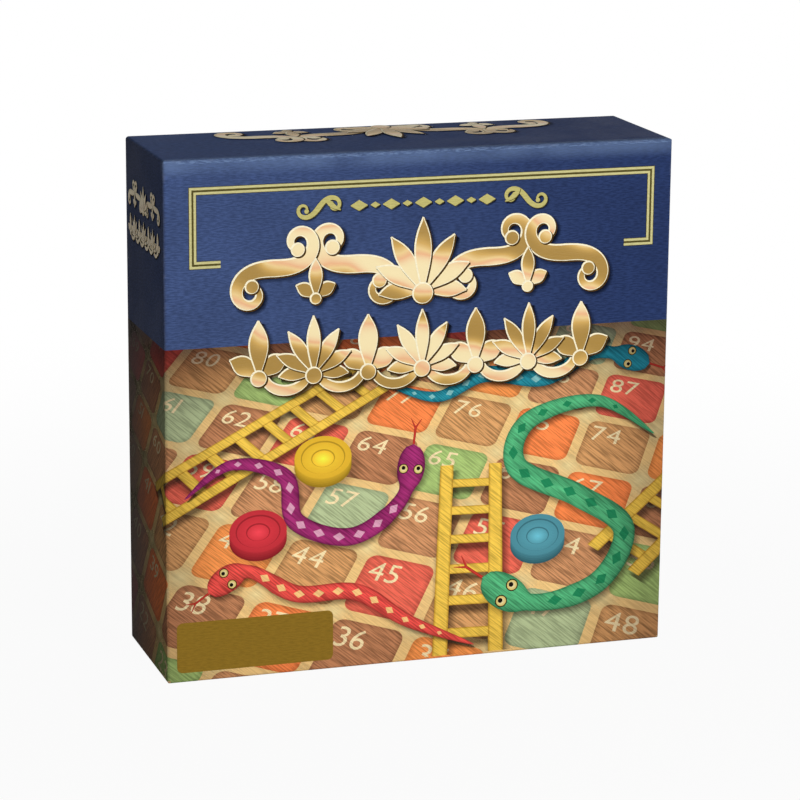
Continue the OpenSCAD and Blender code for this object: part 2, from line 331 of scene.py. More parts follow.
def edge_wear(s):
    """1 along the lid's rounded edges, broken up, otherwise 0: where wear and a painted highlight go."""
    place = s.coords()
    x, y, z = s.split(place)
    side = s.less(HALF_W, s.math("ABSOLUTE", x))
    end = s.less(HALF_H, s.math("ABSOLUTE", s.less(z, MID_Z)))
    front = s.less(y, PANEL_Y)
    nearest = s.most(side, end)
    for inwards in (side, end):
        nearest = s.math("MINIMUM", nearest, s.most(inwards, front))
    near = s.fit(nearest, 0.3 * MM, 1.8 * MM, 1.0, 0.0)
    return s.times(near, s.fit(s.noise(place, 240, 4.0, 0.7), 0.45, 0.75))


def lid_paper():
    """Printed wrap: plain embossed navy above, the picture's ground below, with painted light and shade."""
    s, across, up, height = embossed("lid_paper")
    x, y, z = s.split(s.coords())
    cloud = s.noise(s.coords(), 30, 3.0)
    # Painted light and shade: navy lighter at the left, darker at the right
    navy = s.mix(s.fit(x, -HALF_W, HALF_W), ink(NAVY_PAINTED_LIGHT), ink(NAVY_PAINTED_SHADE))
    # Painted shading of the emboss: lighter on its raised dashes, darker in its hollows, with a random tone
    tone = s.times(s.fit(height, 0.45, 0.8, 0.8, 1.22), s.spread(cloud, 0.92, 1.08))
    # The panel's upper edge is painted lighter, as rub wear and a painted highlight, most of all along its
    # crease
    rub_and_highlight = s.times(s.fit(z, 257 * MM, 265 * MM), s.fit(cloud, 0.35, 0.65, 0.12, 0.3))
    crease = s.times(s.fit(z, 264.2 * MM, 265.6 * MM), s.fit(height, 0.5, 0.75, 0.15, 0.5))
    at_front = s.fit(y, PANEL_Y + 1 * MM, PANEL_Y + 7 * MM, 1.0, 0.0)
    worn_and_lit = s.times(at_front, s.most(rub_and_highlight, crease))
    # Painted shade on the left wall
    navy = left_wall_dusk(s, s.mix(worn_and_lit, s.toned(navy, tone), ink(NAVY_RUB_AND_HIGHLIGHT)), 0.25, 0.4)
    ground = printed(s, ink(GROUT), GROUND_GRAIN, across, up)
    colour = s.mix(s.math("LESS_THAN", z, FIELD_TOP), navy, ground)
    # Wear and a painted highlight along the rounded edges
    colour = s.mix(s.times(edge_wear(s), 0.22), colour, ink(EDGE_WORN_AND_LIT))
    return s.finish(colour, s.spread(cloud, 0.72, 0.86), PAPER_SHEEN)


def art_print():
    """Inks of the pictured board."""
    s, across, up, _ = embossed("art_print")
    inks = s.attribute("ink")
    return s.finish(printed(s, inks["Color"], inks["Alpha"], across, up), PAPER_ROUGHNESS, PAPER_SHEEN)


def line_print():
    """Plain inks, without the picture's shading and grain."""
    s, _, _, height = embossed("line_print")
    # Painted shading of the emboss: lighter on its raised dashes
    colour = s.toned(s.attribute("ink")["Color"], s.fit(height, 0.4, 0.8, 0.9, 1.08))
    return s.finish(colour, PAPER_ROUGHNESS, PAPER_SHEEN)


def gold_print():
    """Gold ink with slanted bands of cream, peach and olive, painted paler on the left wall as painted light.
    """
    s, across, up, _ = embossed("gold_print", 0.35)
    drift = s.noise(s.join(across, up), 32, 1.0)
    turns = s.plus(s.times(up, 150), s.times(across, 38))
    wave = s.math("SINE", s.plus(turns, s.times(drift, 4.0)))
    colour = s.ramp(s.fit(wave, -1.0, 1.0), GOLD_STOPS)
    # Paler on the left wall: painted light
    colour = s.mix(s.times(on_left_wall(s), 0.6), colour, ink(LEFT_WALL_GOLD_PAINTED_LIGHT))
    return s.finish(colour, 0.4, 0.2)


def soft_print(name, in_picture):
    """Soft-edged inks, whose fourth number is how much they cover."""
    s, across, up, _ = embossed(name)
    inks = s.attribute("ink")
    colour = inks["Color"]
    if in_picture:
        colour = printed(s, colour, GROUND_GRAIN, across, up)
    s.set("Alpha", inks["Alpha"])
    return s.finish(colour, PAPER_ROUGHNESS, PAPER_SHEEN)


SHADE = soft_print("shade_print", False)


# Flat prints

def new_object(name, data):
    made = bpy.data.objects.new(name, data)
    bpy.context.scene.collection.objects.link(made)
    return made


def moved(point, step, times=1.0):
    """Point moved by a step, so many times."""
    return point[0] + step[0] * times, point[1] + step[1] * times


def part_way(start, end, share):
    """Point at a share of the way between two others."""
    return start[0] + (end[0] - start[0]) * share, start[1] + (end[1] - start[1]) * share


def around(centre, angle, radius, squash=1.0):
    """Point at an angle and a distance from a centre."""
    return moved(centre, (math.cos(angle), squash * math.sin(angle)), radius)


def heading(start, end):
    """Unit step from a point towards another."""
    length = math.dist(start, end)
    return (end[0] - start[0]) / length, (end[1] - start[1]) / length


class Print:
    """Shapes on one flat sheet, in millimetres, stacked in layers of ink."""

    def __init__(self):
        self.points, self.inks, self.faces = [], [], []

    def add(self, points, inks, faces, layer, project=None):
        """Adds faces, brought to the sheet by a projection where there is one."""
        first = len(self.points)
        for point in points:
            self.points.append((*(project(*point) if project else point), layer))
        self.inks += inks
        self.faces += [[first + i for i in face] for face in faces]

    def patch(self, outline, colour, layer):
        self.add(outline, [colour] * len(outline), [range(len(outline))], layer)

    def plate(self, outer, inner, edge, colour, layer, project=None):
        """Patch whose ink changes from its edge to an inner outline."""
        n = len(outer)
        ring = [[i, (i + 1) % n, n + (i + 1) % n, n + i] for i in range(n)]
        self.add(outer + inner, [edge] * n + [colour] * n, ring + [range(n, 2 * n)], layer, project)

    def ribbon(self, line, widths, colours, layer, project=None):
        """Band along a line, with its colours from edge to edge."""
        columns = len(colours)
        points = []
        for i, here in enumerate(line):
            normal, stretch = mitre(line, i)
            for k in range(columns):
                points.append(moved(here, normal, (k / (columns - 1) - 0.5) * widths[i] * stretch))
        faces = []
        for i, k in product(range(len(line) - 1), range(columns - 1)):
            low = i * columns + k
            faces.append([low, low + 1, low + columns + 1, low + columns])
        self.add(points, list(colours) * len(line), faces, layer, project)

    def stroke(self, line, width, colours, layer, project=None):
        self.ribbon(line, [width] * len(line), colours, layer, project)

    def disc(self, centre, radius, colour, layer, squash=1.0, rim=None, steps=40):
        """Round patch, whose ink runs from its middle to the rim's colour."""
        points = [centre] + [around(centre, 2 * math.pi * i / steps, radius, squash) for i in range(steps)]
        faces = [[0, i + 1, (i + 1) % steps + 1] for i in range(steps)]
        self.add(points, [colour] + [rim or colour] * steps, faces, layer)

    def lay(self, name, place, cuts, folds, material, body):
        """Cuts the print to its sheet, creases it at the folds and lays it on its body."""
        bm = bmesh.new()
        layer = bm.verts.layers.float_color.new("ink")
        verts = []
        for point, colour in zip(self.points, self.inks):
            verts.append(bm.verts.new(point))
            verts[-1][layer] = colour
        for face in self.faces:
            bm.faces.new([verts[i] for i in face])
        bm.normal_update()
        bmesh.ops.reverse_faces(bm, faces=[f for f in bm.faces if f.normal.z < 0])
        planes = [(*cut, True) for cut in cuts] + [(*fold, False) for fold in folds]
        for point, across, clear in planes:
            everything = bm.verts[:] + bm.edges[:] + bm.faces[:]
            bmesh.ops.bisect_plane(
                bm, geom=everything, plane_co=(*point, 0), plane_no=(*across, 0), clear_outer=clear)
        for vert in bm.verts:
            u, v, height = vert.co
            vert.co = place(u * MM, v * MM, height * INK)
        mesh = bpy.data.meshes.new(name)
        bm.to_mesh(mesh)
        bm.free()
        mesh.materials.append(material)
        piece = new_object(name, mesh)
        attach(piece, body)


def mitre(line, i):
    """Normal of a line at a point, and how far a corner there stretches a band."""
    least = 0.3
    before, here, after = line[max(i - 1, 0)], line[i], line[min(i + 1, len(line) - 1)]
    arms = []
    for start, end in ((before, here), (here, after)):
        if start != end:
            dx, dy = heading(start, end)
            arms.append((-dy, dx))
    nx, ny = sum(a[0] for a in arms), sum(a[1] for a in arms)
    length = math.hypot(nx, ny)
    normal = (nx / length, ny / length)
    return normal, 1 / max(least, normal[0] * arms[0][0] + normal[1] * arms[0][1])


def smooth(knots, steps=14):
    """Smooth line through a few points."""
    line = []
    for i in range(len(knots) - 1):
        p = [knots[min(max(i + k, 0), len(knots) - 1)] for k in (-1, 0, 1, 2)]
        for step in range(steps):
            t = step / steps
            weights = (
                -t ** 3 + 2 * t ** 2 - t, 3 * t ** 3 - 5 * t ** 2 + 2,
                -3 * t ** 3 + 4 * t ** 2 + t, t ** 3 - t ** 2)
            line.append(tuple(sum(w * q[axis] for w, q in zip(weights, p)) / 2 for axis in (0, 1)))
    return line + [knots[-1]]


def rounded_box(left, low, right, high, radius, steps=5):
    """Outline of a box with rounded corners."""
    outline = []
    west, east, south, north = left + radius, right - radius, low + radius, high - radius
    for quarter, centre in enumerate(((east, north), (west, north), (west, south), (east, south))):
        for i in range(steps + 1):
            outline.append(around(centre, (quarter + i / steps) * math.pi / 2, radius))
    return outline


def digit_shapes():
    """The ten plain digits as flat faces, one unit high, with their widths."""
    shapes = {}
    for digit in "0123456789":
        curve = bpy.data.curves.new("digit", "FONT")
        curve.body = digit
        curve.resolution_u = 3
        text = new_object("digit", curve)
        mesh = bpy.data.meshes.new_from_object(text.evaluated_get(bpy.context.evaluated_depsgraph_get()))
        xs, ys = [v.co.x for v in mesh.vertices], [v.co.y for v in mesh.vertices]
        tall = max(ys) - min(ys)
        points = [((x - min(xs)) / tall, (y - min(ys)) / tall) for x, y in zip(xs, ys)]
        faces = [list(p.vertices) for p in mesh.polygons]
        shapes[digit] = (points, faces, (max(xs) - min(xs)) / tall)
        bpy.data.batch_remove((text, curve, mesh))
    return shapes


DIGITS = digit_shapes()
# Space between digits, as a share of their height
DIGIT_SPACE = 0.14


def number(sheet, value, place, height, colour, layer, project=None):
    """Plain number, centred on a place."""
    text = str(value)
    wide = sum(DIGITS[d][2] for d in text) + DIGIT_SPACE * (len(text) - 1)
    x = place[0] - wide * height / 2
    for d in text:
        points, faces, width = DIGITS[d]
        laid = [(x + px * height, place[1] + (py - 0.5) * height) for px, py in points]
        sheet.add(laid, [colour] * len(laid), faces, layer, project)
        x += (width + DIGIT_SPACE) * height


# The lid's sheet

def fold_over(distance, half):
    """Place across, depth behind and turn, for a sheet that wraps a rounded edge."""
    beyond = abs(distance) - (half - EDGE_R)
    if beyond <= 0:
        return distance, 0.0, 0.0
    turn = min(beyond / EDGE_R, math.pi / 2)
    across = half - EDGE_R + EDGE_R * math.sin(turn)
    behind = EDGE_R * (1 - math.cos(turn)) + max(0.0, beyond - EDGE_R * math.pi / 2)
    return math.copysign(across, distance), behind, math.copysign(turn, distance)


def on_lid(u, v, lift):
    """Where a point of the flat sheet lies on the lid."""
    x, side_depth, side_turn = fold_over(u, HALF_W)
    z, end_depth, end_turn = fold_over(v - MID_Z, HALF_H)
    out = lift * math.cos(side_turn) * math.cos(end_turn)
    return Vector((
        x + lift * math.sin(side_turn),
        PANEL_Y + side_depth + end_depth - out,
        MID_Z + z + lift * math.sin(end_turn)))


def wall(half, depth):
    """Distance along the flat sheet, from its middle, to a depth on a wall."""
    return (half - EDGE_R + EDGE_R * math.pi / 2 + depth - EDGE_R) / MM


SIDE = wall(HALF_W, LID_DEPTH)
END = wall(HALF_H, LID_DEPTH)
FLAT_W = (HALF_W - EDGE_R) / MM
FLAT_H = (HALF_H - EDGE_R) / MM
MIDDLE = MID_Z / MM
BEND_STEPS = 12


def bends(flat, axis, middle=0.0):
    """Crease lines across two opposite rounded edges."""
    lines = []
    for side, step in product((-1, 1), range(BEND_STEPS + 1)):
        place = middle + side * (flat + step / BEND_STEPS * EDGE_R / MM * math.pi / 2)
        lines.append(((place, 0), (1, 0)) if axis == 0 else ((0, place), (0, 1)))
    return lines


def cut_to(left, right, low, high):
    """Cuts that keep a box of the flat sheet."""
    return [((left, 0), (-1, 0)), ((right, 0), (1, 0)), ((0, low), (0, -1)), ((0, high), (0, 1))]


def lay_on_lid(sheet, name, material, top=MIDDLE + FLAT_H):
    """Lays a print on the panel and its side walls."""
    cuts = cut_to(-SIDE, SIDE, MIDDLE - FLAT_H, top)
    sheet.lay(name, on_lid, cuts, bends(FLAT_W, 0), material, "lid")


def lay_on_end(sheet, name, material, side):
    """Lays a print on the upper (side 1) or lower (side -1) wall and its rounded edge."""
    low, high = sorted((MIDDLE + side * FLAT_H, MIDDLE + side * END))
    cuts = cut_to(-FLAT_W, FLAT_W, low, high)
    sheet.lay(name, on_lid, cuts, bends(FLAT_H, 1, MIDDLE), material, "lid")


# The pictured board, seen at a slant

FIELD_PITCH = 43.0
FIELD_SQUASH = 0.74
FIELD_EYE = 620.0
FIELD_MIDDLE = (0.0, 72.0)
# A tile's corner radius and the width of its dark edge, as shares of its width
TILE_CORNER = 0.15
TILE_EDGE = 0.08


def field(a, b):
    """Sheet place of a point of the pictured board, in squares."""
    x = (a * math.cos(FIELD_TURN) - b * math.sin(FIELD_TURN)) * FIELD_PITCH
    y = (a * math.sin(FIELD_TURN) + b * math.cos(FIELD_TURN)) * FIELD_PITCH * FIELD_SQUASH
    return moved(FIELD_MIDDLE, (x, y), 1 / (1 + y / FIELD_EYE))


def square_number(column, row, across=10):
    """Number of a square, in rows that run back and forth."""
    row = row % across
    column = column % across
    return row * across + (column if row % 2 == 0 else across - 1 - column) + 1


def tile_colour(column, row):
    """Wood on every other tile, bright colours on the rest."""
    if (column + row) % 2 == 0:
        return ink(WOOD_TILES[(column * 3 + row) % len(WOOD_TILES)], 1.0)
    return ink(BRIGHT_TILES[(column + 3 * row) % len(BRIGHT_TILES)], 0.7)


def square_tile(sheet, left, low, wide, high, colour, layer, project=None):
    """Rounded tile that darkens at its edge."""
    corner, edge = TILE_CORNER * wide, TILE_EDGE * wide
    right, top = left + wide, low + high
    outer = rounded_box(left, low, right, top, corner)
    inner = rounded_box(left + edge, low + edge, right - edge, top - edge, corner - edge / 2)
    sheet.plate(outer, inner, shaded(colour, 0.72), colour, layer, project)


def draw_field(glows, tiles, numbers):
    """Tiles with their numbers, and a soft glow where four of them meet."""
    reach, side, past_sheet, highest = 9, 0.87, 30, 210
    glow, glow_radius, glow_cover = ink(GROUT_GLOW)[:3], 15, 0.85
    from_middle, number_high = (-0.15, 0.2), 0.28
    middle_column, middle_row = 4, 5
    for column, row in product(range(-reach, reach + 1), repeat=2):
        u, v = field(column, row)
        if abs(u) > SIDE + past_sheet or not -END / 2 < v < highest:
            continue
        crossing, middle, rim = field(column + 0.5, row + 0.5), (*glow, glow_cover), (*glow, 0.0)
        glows.disc(crossing, glow_radius, middle, GLOW_LAYER, FIELD_SQUASH, rim, 24)
        colour = tile_colour(column, row)
        square_tile(tiles, column - side / 2, row - side / 2, side, side, colour, TILE_LAYER, field)
        place = moved((column, row), from_middle)
        value = square_number(column + middle_column, row + middle_row)
        number(numbers, value, place, number_high, ink(NUMBER_INK, 0.5), NUMBER_LAYER, field)


PRINT_SHADOW = ink("#38281f")[:3]
LADDER_EDGE = ink("#c2902f", 0.6)
LADDER_BODY = ink("#f6cb52", 0.7)
# Width of a ladder's rails, as a share of the ladder's width
LADDER_BAR = 0.27


def ladder(sheet, shades, foot, top, width, rungs, layer, project=None):
    """Rungs, then rails, over their shadows, in the units of the board."""
    first_rung, past_rungs, rung_thick, steps = 0.7, 0.4, 0.85, 8
    drop_way, shadow_wide, cover = (0.35, -0.5), 1.8, 0.55
    ux, uy = heading(foot, top)
    across = (uy * width / 2, -ux * width / 2)
    bar = width * LADDER_BAR
    bars = []
    for rung in range(rungs):
        middle = part_way(foot, top, (rung + first_rung) / (rungs + past_rungs))
        bars.append((moved(middle, across), moved(middle, across, -1), bar * rung_thick, 0))
    for side in (-1, 1):
        bars.append((moved(foot, across, side), moved(top, across, side), bar, 1))
    colours = [LADDER_EDGE] + [LADDER_BODY] * 5 + [LADDER_EDGE]
    for start, end, wide, level in bars:
        line = [part_way(start, end, t / steps) for t in range(steps + 1)]
        drop = [moved(point, drop_way, bar) for point in line]
        shades.stroke(drop, wide * shadow_wide, soft(PRINT_SHADOW, cover), layer + level, project)
        sheet.stroke(line, wide, colours, layer + 2 + level, project)


# A snake's head, in girths, and the steps along it
HEAD_LONG = 2.5
HEAD_WIDE = 1.55
HEAD_STEPS = 14
# Tones of a snake's skin from edge to edge
SKIN_TONES = (0.5, 0.92, 1.05, 1.12, 1.08, 1.0, 0.92, 0.8, 0.42)
EYE_RIM = ink("#2a2216")
EYE_PALE = ink("#f8efbe")
EYE_GOLD = ink("#dcc066")
PUPIL = ink("#17120c")
TONGUE = [ink("#9c1f1c"), ink("#d8463a"), ink("#9c1f1c")]


def point_at(line, reach, distance):
    """Point of a line at a distance along it."""
    for i in range(len(line) - 1):
        if distance <= reach[i + 1] or i == len(line) - 2:
            span = reach[i + 1] - reach[i]
            return part_way(line[i], line[i + 1], (distance - reach[i]) / span if span else 0.0)


def snake_line(knots, girth):
    """Line from tail to snout, with fine steps in the head, and distances along it."""
    line = smooth(knots)
    reach = [0.0]
    for start, end in zip(line, line[1:]):
        reach.append(reach[-1] + math.dist(start, end))
    total, head = reach[-1], HEAD_LONG * girth
    fine = [total - head * k / HEAD_STEPS for k in range(HEAD_STEPS - 1, -1, -1)]
    stations = [d for d in reach if d < total - head] + fine
    return [point_at(line, reach, d) for d in stations], stations


def taper(distance, total):
    """Share of its girth that a snake has at a distance from its tail."""
    return min(1.0, (distance / (0.4 * total)) ** 0.6)


def snake_width(distance, total, girth):
    """Width that thins at the tail and the neck and ends in an oval head."""
    thinning, neck_at, neck_long, snout_long, least = 0.22, 1.05, 0.75, 0.7, 0.05
    left = (total - distance) / (HEAD_LONG * girth)
    waist = 1 - thinning * max(0.0, 1 - ((left - neck_at) / neck_long) ** 2)
    neck = girth * taper(distance, total) * waist * min(1.0, left / snout_long)
    head = HEAD_WIDE * girth * math.sqrt(max(0.0, 1 - (2 * left - 1) ** 2))
    return max(least, (neck ** 4 + head ** 4) ** 0.25)


def snake_spots(sheet, line, stations, girth, mark, layer):
    """Row of lozenge spots, smaller towards the tail."""
    total, step, long, wide = stations[-1], 1.15 * girth, 0.34, 0.24
    for k in range(2, int((total - HEAD_LONG * girth) / step)):
        middle = point_at(line, stations, k * step)
        (nx, ny), _ = mitre([point_at(line, stations, k * step + d) for d in (-1, 0, 1)], 1)
        size = girth * taper(k * step, total)
        along, aside = (ny * long, -nx * long), (nx * wide, ny * wide)
        outline = [moved(middle, way, side * size) for side in (1, -1) for way in (along, aside)]
        sheet.patch(outline, ink(mark, 0.4), layer)


def snake_face(sheet, line, stations, girth, layer):
    """Eyes and a forked tongue, with their sizes in girths."""
    eyes_back, eyes_apart, pupil_ahead = 0.55, 0.42, 0.05
    tongue_long, prong_long, prong_aside = 0.9, 0.5, 0.3
    eye_rim, iris, pupil = (girth * radius for radius in (0.28, 0.23, 0.11))
    tongue, prong, prong_tip = (girth * width for width in (0.13, 0.12, 0.03))
    snout, middle = line[-1], point_at(line, stations, stations[-1] - HEAD_LONG * girth * eyes_back)
    ahead = [part * girth for part in heading(middle, snout)]
    aside = (-ahead[1], ahead[0])
    for side in (-1, 1):
        eye = moved(middle, aside, eyes_apart * side)
        sheet.disc(eye, eye_rim, EYE_RIM, layer + 1, steps=20)
        sheet.disc(eye, iris, EYE_PALE, layer + 2, rim=EYE_GOLD, steps=20)
        sheet.disc(moved(eye, ahead, pupil_ahead), pupil, PUPIL, layer + 3, steps=16)
    fork = moved(snout, ahead, tongue_long)
    sheet.stroke([snout, fork], tongue, TONGUE, layer)
    for level, side in ((1, -1), (2, 1)):
        tip = moved(moved(fork, ahead, prong_long), aside, prong_aside * side)
        sheet.ribbon([fork, tip], [prong, prong_tip], TONGUE, layer + level)


def snake(sheet, shades, knots, girth, skin, mark, layer):
    """Snake from tail to snout, over its shadow."""
    drop_way, shadow_wide, cover = (0.11, -0.2), 1.35, 0.6
    line, stations = snake_line(knots, girth)
    widths = [snake_width(d, stations[-1], girth) for d in stations]
    drop = [moved(point, drop_way, girth) for point in line]
    shades.ribbon(drop, [w * shadow_wide for w in widths], soft(PRINT_SHADOW, cover), layer)
    sheet.ribbon(line, widths, [shaded(ink(skin, 0.9), tone) for tone in SKIN_TONES], layer + 1)
    snake_spots(sheet, line, stations, girth, mark, layer + 2)
    snake_face(sheet, line, stations, girth, layer + 1)


# A counter's stacked discs: rise, share of its radius, tones of the disc's middle and rim
COUNTER_SIDE = [(step - 4.0, 1.0, 0.35 + 0.08 * step, 0.35 + 0.08 * step) for step in range(5)]
COUNTER_TOP = [
    (0.6, 1.0, 1.0, 0.8), (0.6, 0.78, 0.5, 0.5), (0.2, 0.74, 1.15, 0.85),
    (0.2, 0.42, 0.55, 0.55), (-0.1, 0.38, 1.7, 1.0)]
COUNTER_RADIUS = 15
COUNTER_DROP = (2.5, -5.5)


def counter(sheet, shades, centre, code, layer):
    """Flat round counter with raised rings, over its shadow."""
    body, shadow = ink(code), moved(centre, COUNTER_DROP)
    cover, fade = (*PRINT_SHADOW, 0.8), (*PRINT_SHADOW, 0.0)
    shades.disc(shadow, COUNTER_RADIUS * 1.25, cover, layer, FIELD_SQUASH, fade)
    for i, (rise, share, middle, rim) in enumerate(COUNTER_SIDE + COUNTER_TOP):
        place, radius = moved(centre, (0, rise)), COUNTER_RADIUS * share
        sheet.disc(place, radius, shaded(body, middle), layer + 1 + i, FIELD_SQUASH, shaded(body, rim))


# Feet and tops of the picture's ladders, in squares
PICTURE_LADDERS = (((1.55, -2.6), (0.25, 1.2)), ((-3.5, -0.7), (-1.7, 2.5)), ((2.5, 0.1), (3.9, 3.3)))
LADDER_WIDE = 0.64
LADDER_RUNGS = 8
# Places along the picture's snakes, from tail to snout, with girth, skin and spots
HIGH_SNAKE = ((-22, 150), (8, 140), (34, 150), (66, 146), (94, 158), (124, 150))
RIGHT_SNAKE = (
    (128, 112), (96, 132), (58, 124), (52, 100), (86, 82), (112, 62), (98, 34), (62, 26), (34, 42))
LEFT_SNAKE = ((-124, 96), (-100, 112), (-72, 104), (-66, 80), (-36, 70), (-10, 88), (-4, 116))
LOW_SNAKE = ((30, 6), (-6, 22), (-34, 40), (-66, 42), (-92, 56), (-112, 46))
PICTURE_SNAKES = (
    (HIGH_SNAKE, 8.5, "#2a8fa0", "#8fd0d0"), (RIGHT_SNAKE, 12.0, "#54b27a", "#258a5a"),
    (LEFT_SNAKE, 9.5, "#a0306f", "#e0a3bd"), (LOW_SNAKE, 9.0, "#e9524a", "#ffcc86"))
PICTURE_COUNTERS = (((-52, 112), "#ffcb3a"), ((64, 62), "#589fae"), ((-86, 76), "#dd3b45"))


def dress_picture():
    """The pictured board with snakes, ladders and counters, on the panel and three walls."""
    glows, tiles, numbers, shades, motifs = (Print() for _ in range(5))
    draw_field(glows, tiles, numbers)
    layer = MOTIF_LAYER
    for foot, top in PICTURE_LADDERS:
        ladder(motifs, shades, foot, top, LADDER_WIDE, LADDER_RUNGS, layer, field)
    layer += LADDER_LAYERS
    for knots, girth, skin, mark in PICTURE_SNAKES:
        snake(motifs, shades, knots, girth, skin, mark, layer)
    layer += SNAKE_LAYERS
    for place, colour in PICTURE_COUNTERS:
        counter(motifs, shades, place, colour, layer)
    art = art_print()
    prints = (
        ("grout_glow", glows, soft_print("glow_print", True)), ("tiles", tiles, art),
        ("numbers", numbers, art), ("picture_shadows", shades, SHADE), ("motifs", motifs, art))
    for name, sheet, material in prints:
        lay_on_lid(sheet, f"lid_{name}", material, FIELD_TOP / MM)
    lay_on_end(tiles, "lid_tiles_below", art, -1)


# Gold ornament

GOLD_DARK = ink("#4a3414")
GOLD_PALE = ink("#fdf3d2")
GOLD_SHADOW = ink("#06070f")[:3]


class Ornament:
    """Shapes around an origin, each printed as a soft shadow, two edges and its gold."""

    def __init__(self, origin, scale=1.0, turned=1, dark=GOLD_DARK, pale=GOLD_PALE):
        self.origin, self.scale, self.turned = origin, scale, turned
        self.dark, self.pale, self.level = dark, pale, 0
        self.shades, self.edges, self.gold = Print(), Print(), Print()

    def at(self, point, shift):
        """Sheet place of a point of the design, shifted to the right and down."""
        return moved(moved(self.origin, point, self.scale * self.turned), (1, -1), self.scale * shift)

    def passes(self, cover):
        """Sheets, layers, shifts, growths and inks of one shape. The next one lies over it."""
        low = GOLD_LAYER + self.level
        high = GOLD_LAYER + GOLD_LEVELS + 3 * self.level
        self.level += 1
        return (
            (self.shades, low, 1.5, 3.6, soft(GOLD_SHADOW, cover)),
            (self.edges, high, 0.4, 0.9, [self.dark] * 2),
            (self.edges, high + 1, -0.2, 0.5, [self.pale] * 2),
            (self.gold, high + 2, 0.05, -0.8, [self.pale] * 3))

    def band(self, line, widths):
        for sheet, layer, shift, grow, colours in self.passes(0.75):
            path = [self.at(point, shift) for point in line]
            sheet.ribbon(path, [max(0.05, w + grow) * self.scale for w in widths], colours, layer)

    def ball(self, centre, radius):
        for sheet, layer, shift, grow, colours in self.passes(0.85):
            rim, middle = colours[:2]
            sheet.disc(self.at(centre, shift), (radius + grow / 2) * self.scale, middle, layer, 1.0, rim, 28)

    def lay(self, name, lay_on, line, gold, *more):
        """Lays the printings on the lid."""
        for sheet, kind, material in (
                (self.shades, "shadows", SHADE), (self.edges, "edges", line), (self.gold, "gold", gold)):
            lay_on(sheet, f"lid_{name}_{kind}", material, *more)


def scroll_line(turns, steps=100):
    """S-scroll of unit length each way, whose two ends curl in."""
    half = [(0.0, 0.0)]
    for i in range(steps):
        half.append(around(half[-1], 2 * math.pi * turns * ((i + 0.5) / steps) ** 2, 1 / steps))
    return [(-x, -y) for x, y in reversed(half)] + half[1:]


SCROLL = scroll_line(0.98)


def scroll(ornament, centre, size, lean, thick, flip_x, flip_y):
    """S-scroll, leaned and mirrored where asked, with a ball in each curl."""
    thinning, swell, ball = 0.7, 1.3, 0.4
    cos, sin = math.cos(lean), math.sin(lean)
    line = [
        moved(centre, (flip_x * (x * cos - y * sin), flip_y * (x * sin + y * cos)), size) for x, y in SCROLL]
    last = len(line) - 1
    widths = [thick * (1 - thinning * abs(2 * i / last - 1) ** swell) for i in range(last + 1)]
    ornament.band(line, widths)
    for end in (line[0], line[-1]):
        ornament.ball(end, thick * ball)


def leaf(ornament, root, start, length, thick, curl, steps=24):
    """Teardrop leaf that grows from its root and curls to one side."""
    path = [root]
    for k in range(steps):
        path.append(around(path[-1], start + curl * k / steps, length / steps))
    widths = [thick * max(0.05, math.sin(math.pi * (0.1 + 0.9 * k / steps) ** 1.4)) for k in range(steps + 1)]
    ornament.band(path, widths)


def palmette(ornament, root, size, petals):
    """Fan of petals over a ball."""
    reach = (petals - 1) // 2
    spread, plump = (0.75, 0.34) if reach == 1 else (1.35, 0.23)
    for petal in sorted(range(-reach, reach + 1), key=abs, reverse=True):
        aside = petal / reach
        length = size * (1.0 - 0.38 * abs(aside))
        leaf(ornament, root, math.pi / 2 - aside * spread, length, size * plump, -aside * 0.5)
    ornament.ball(moved(root, (0, -0.02), size), size * 0.14)


def lozenge(ornament, centre, size):
    line = [moved(centre, (size, 0), side) for side in (-1, 0, 1)]
    ornament.band(line, [0.2, size * 1.2, 0.2])


def scroll_tier(ornament, middle):
    """Four scrolls and two buds around a palmette, about 194 wide and 40 high."""
    bud, root = 56, middle - 17
    for flip in (-1, 1):
        ornament.level = 0
        for along, size, thick, upright in ((35, 52, 9.0, 1), (77, 50, 8.5, -1)):
            scroll(ornament, (flip * along, middle - 1), size, 0.0, thick, flip, upright)
        palmette(ornament, (flip * bud, root), 20, 3)
    palmette(ornament, (0, root), 38, 7)


def frieze_tier(ornament, middle):
    """Palmettes and buds on small arches, about 196 wide and 38 high."""
    pitch, half_wide, deep, steps = 28.5, 11.5, 9.5, 24
    angles = [math.pi * i / steps for i in range(steps + 1)]
    for k in range(-3, 3):
        centre = ((k + 0.5) * pitch, middle - 8)
        arch = [moved(centre, (half_wide * math.cos(a), deep * math.sin(a)), -1) for a in angles]
        ornament.level = k % 2
        ornament.band(arch, [3.4 + 1.8 * math.sin(a) for a in angles])
    for k in range(-3, 4):
        level, size, petals = (2, 29, 3) if k % 2 == 1 else (6, 30, 7)
        ornament.level = level
        palmette(ornament, (k * pitch, middle - 10), size, petals)


BORDER_PALE = ink("#cdc68c")
BORDER_OLIVE = ink("#c3ba74")
BORDER_DARK = ink("#564e28")
# Bare plate: left, low, right and high edges, and radius of its corners
PLATE = (-128.5, 5.2, -46.5, 31.6, 3.0)


def bracket(sheet, layer):
    """Double-line bracket around the upper part of the panel, with ends that turn in."""
    left, right, low, high = -118.7, 122.0, 214.6, 251.5
    end, wide, pale_wide, pale_aside = 14.0, 4.0, 1.2, 1.12
    path = [(left + end, low), (left, low), (left, high), (right, high), (right, low), (right - end, low)]
    sheet.stroke(path, wide, [BORDER_DARK] * 2, layer)
    for side in (-1, 1):
        line = []
        for i, here in enumerate(path):
            normal, stretch = mitre(path, i)
            line.append(moved(here, normal, stretch * side * pale_aside))
        sheet.stroke(line, pale_wide, [BORDER_PALE] * 2, layer + 1)


